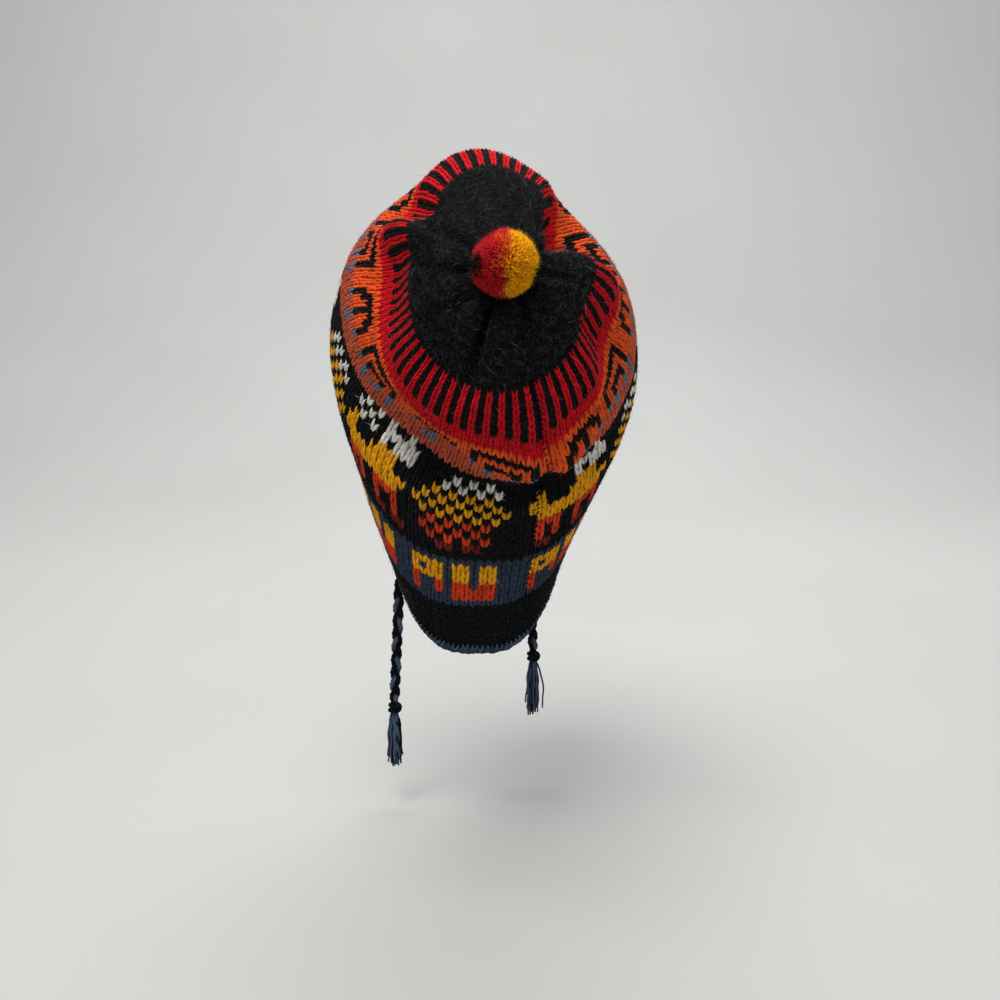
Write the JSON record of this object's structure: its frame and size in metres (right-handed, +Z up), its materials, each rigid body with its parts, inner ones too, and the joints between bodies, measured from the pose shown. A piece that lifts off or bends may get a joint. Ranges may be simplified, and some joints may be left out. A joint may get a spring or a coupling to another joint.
{
  "type": "chullo hat",
  "caption": "Knitted Andean hat with ear flaps, banded colourwork, a gathered slouched crown, a pompom and braided ties with tassels.",
  "frame": {"origin": "point inside the crown that bears on the top of the head", "axes": "+Z up as worn, +Y the way the wearer faces, +X the wearer's right"},
  "size_m": [0.1976, 0.2599, 0.429],
  "materials": {
    "body_knit": "fuzzy two-colour stranded wool knit in charcoal, red, orange, gold, white and slate blue bands",
    "flap_knit": "black wool knit",
    "edging_yarn": "slate blue crocheted wool yarn",
    "tie_yarn": "black and slate blue wool yarn, braided in three",
    "tassel_yarn": "loose ends of black and slate blue wool yarn",
    "pompom_yarn": "cut wool pile in red and gold"
  },
  "bodies": {
    "root": {"knit_body": "body_knit", "ear_flap_left": "flap_knit", "ear_flap_right": "flap_knit", "edging": "edging_yarn", "tie_left": "tie_yarn", "tie_right": "tie_yarn", "tassel_left": "tassel_yarn", "tassel_right": "tassel_yarn", "pompom": "pompom_yarn"}
  },
  "joints": []
}
